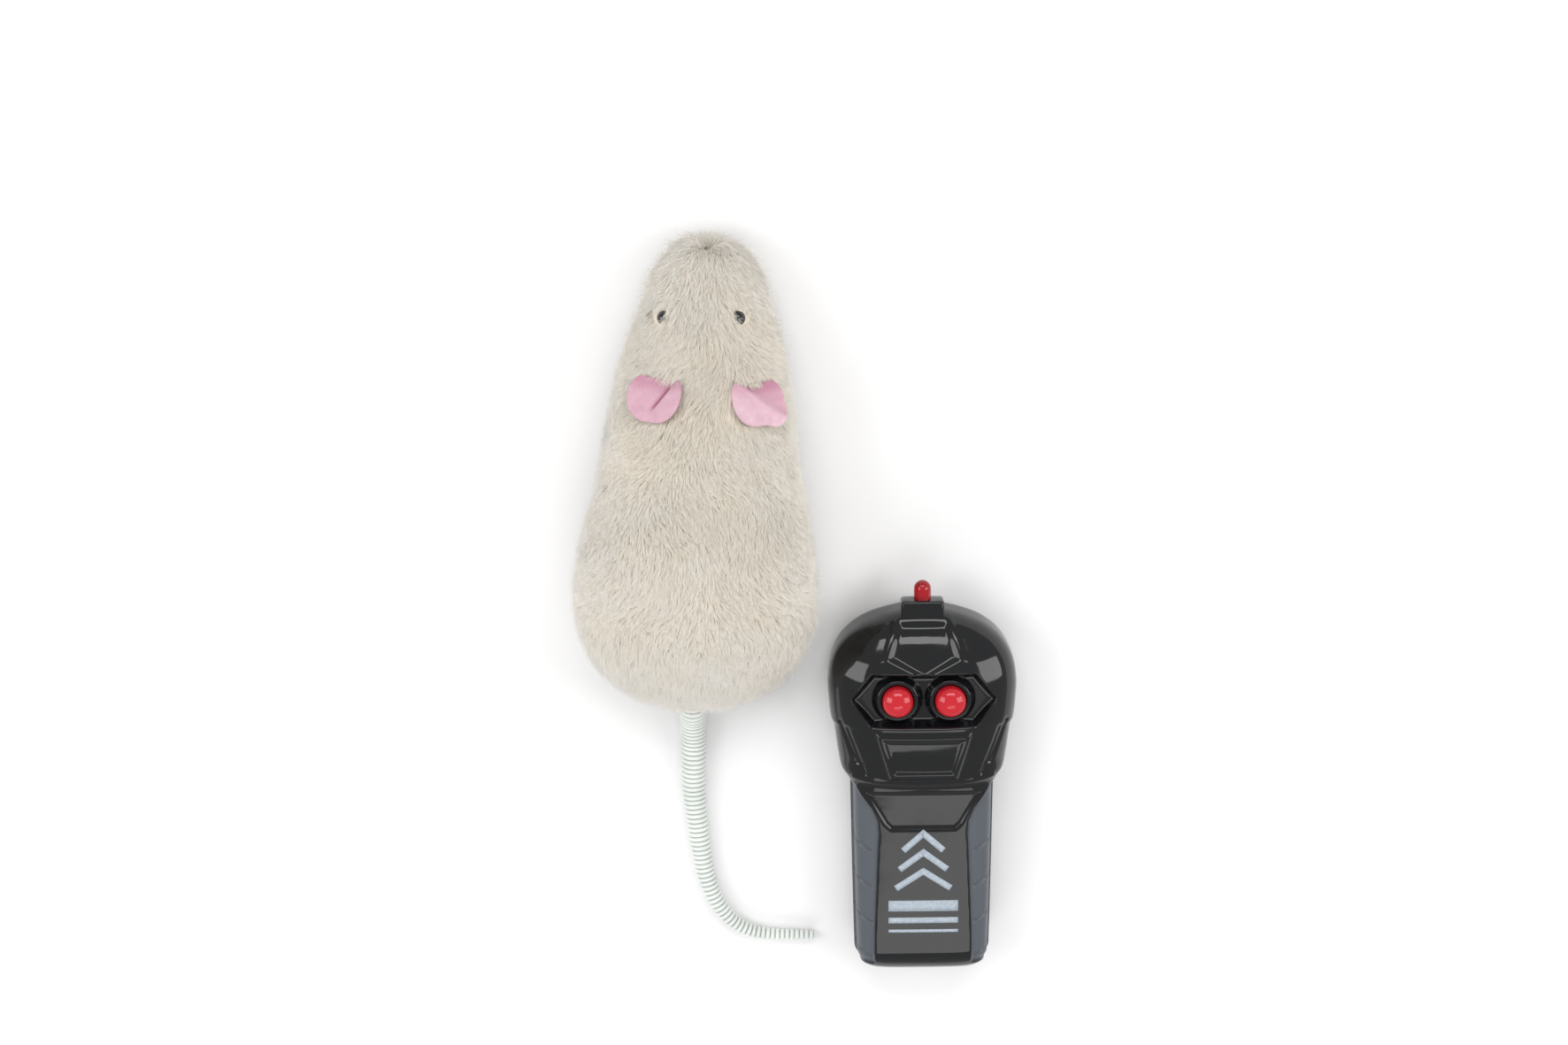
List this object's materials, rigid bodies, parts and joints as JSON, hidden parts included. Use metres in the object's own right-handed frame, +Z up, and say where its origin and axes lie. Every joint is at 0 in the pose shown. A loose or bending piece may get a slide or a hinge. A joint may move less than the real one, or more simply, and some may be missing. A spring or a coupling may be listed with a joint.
{
  "type": "remote-controlled plush mouse cat toy",
  "caption": "Plush mouse on hidden driven wheels with pink ears and a ribbed tail, and a handheld remote with two round buttons.",
  "frame": {"origin": "on the floor, under the middle of the set's outline", "axes": "+Y from the mouse's tail towards its nose, +X from the mouse towards the remote, +Z up"},
  "size_m": [0.1302, 0.218, 0.05],
  "materials": {
    "plush": "short cream plush pile",
    "felt": "pink felt",
    "bead": "polished black bead",
    "soft_pvc": "soft white moulded tube, slightly translucent",
    "housing_black": "fine moulded texture",
    "gear_white": "natural acetal",
    "steel": "bright drawn or plated steel",
    "brass": "turned brass",
    "tyre": "moulded rubber tread",
    "cell_jacket": "plain printed sleeve",
    "board": "solder-masked laminate",
    "chip": "moulded chip body",
    "lead_red": "red wire insulation",
    "lead_black": "black wire insulation",
    "wire_white": "white wire insulation",
    "shell_black": "polished black ABS",
    "button_red": "translucent red, polished",
    "pad_rubber": "moulded silicone"
  },
  "bodies": {
    "chassis": {"plush_skin": "plush", "left_ear": "felt", "right_ear": "felt", "left_eye": "bead", "right_eye": "bead", "upper_housing": "housing_black", "chassis_tray": "housing_black", "motor": "steel", "gearbox_plate": "gear_white", "idler_pin": "steel", "mouse_cell_1": "cell_jacket", "mouse_cell_2": "cell_jacket", "mouse_cell_3": "cell_jacket", "mouse_rear_contact": "steel", "mouse_front_contact": "steel", "front_chassis_screw": "steel", "rear_chassis_screw": "steel", "power_switch": "steel", "receiver_board": "board", "receiver_chip": "chip", "receiver_aerial": "wire_white", "motor_lead_red": "lead_red", "motor_lead_black": "lead_black"},
    "rear_axle": {"rear_axle": "steel", "axle_gear": "gear_white", "left_hub": "gear_white", "right_hub": "gear_white", "left_tyre": "tyre", "right_tyre": "tyre"},
    "idler": {"idler_gear": "gear_white"},
    "motor_rotor": {"motor_shaft": "steel", "motor_pinion": "brass"},
    "caster_fork": {"caster_fork": "housing_black", "caster_pin": "steel"},
    "caster_wheel": {"caster_wheel": "tyre"},
    "tail": {"tail": "soft_pvc"},
    "mouse_door": {"mouse_battery_door": "housing_black", "door_screw": "steel"},
    "switch": {"switch_slider": "gear_white"},
    "remote": {"remote_front_shell": "shell_black", "remote_rear_shell": "shell_black", "button_pad": "pad_rubber", "remote_board": "board", "remote_chip": "chip", "remote_aerial": "wire_white", "indicator_lens": "button_red", "remote_cell_1": "cell_jacket", "remote_cell_2": "cell_jacket", "remote_rear_contact": "steel", "remote_front_contact": "steel", "remote_screw_left": "steel", "remote_screw_right": "steel"},
    "remote_left_button": {"left_button": "button_red"},
    "remote_right_button": {"right_button": "button_red"},
    "remote_door": {"remote_battery_door": "shell_black"}
  },
  "joints": [
    {"name": "rear_axle_spin", "type": "hinge", "parent": "chassis", "child": "rear_axle", "pos_m": [-0.03062, 0.01102, 0.013], "axis": [1, 0, 0], "continuous": true},
    {"name": "idler_spin", "type": "hinge", "parent": "chassis", "child": "idler", "pos_m": [-0.03062, 0.01702, 0.021], "axis": [1, 0, 0], "continuous": true},
    {"name": "motor_spin", "type": "hinge", "parent": "chassis", "child": "motor_rotor", "pos_m": [-0.03062, 0.02502, 0.027], "axis": [1, 0, 0], "continuous": true},
    {"name": "caster_swivel", "type": "hinge", "parent": "chassis", "child": "caster_fork", "pos_m": [-0.03062, 0.09002, 0.013], "axis": [0, 0, 1], "range_deg": [0, 40]},
    {"name": "caster_wheel_spin", "type": "hinge", "parent": "caster_fork", "child": "caster_wheel", "pos_m": [-0.03062, 0.08502, 0.005], "axis": [1, 0, 0], "continuous": true},
    {"name": "tail_sway", "type": "hinge", "parent": "chassis", "child": "tail", "pos_m": [-0.03062, -0.01848, 0.0115], "axis": [0, 0, 1], "range_deg": [-9, 6]},
    {"name": "mouse_door_release", "type": "slide", "parent": "chassis", "child": "mouse_door", "axis": [0, 0, -1], "range_m": [0, 0.02]},
    {"name": "power_switch_slide", "type": "slide", "parent": "chassis", "child": "switch", "axis": [1, 0, 0], "range_m": [0, 0.003]},
    {"name": "remote_lift", "type": "slide", "parent": "chassis", "child": "remote", "axis": [0, 0, 1], "range_m": [0, 0.08]},
    {"name": "left_button_press", "type": "slide", "parent": "remote", "child": "remote_left_button", "axis": [0, 0, -1], "range_m": [0, 0.0012], "stiffness_N_per_m": 600, "springref_m": -0.0003},
    {"name": "right_button_press", "type": "slide", "parent": "remote", "child": "remote_right_button", "axis": [0, 0, -1], "range_m": [0, 0.0012], "stiffness_N_per_m": 600, "springref_m": -0.0003},
    {"name": "remote_door_slide", "type": "slide", "parent": "remote", "child": "remote_door", "axis": [0.0558, -0.9984, 0], "range_m": [0, 0.06]}
  ],
  "couplings": [
    {"joint": "idler_spin", "follows": "rear_axle_spin", "ratio": -3},
    {"joint": "motor_spin", "follows": "rear_axle_spin", "ratio": 9}
  ]
}
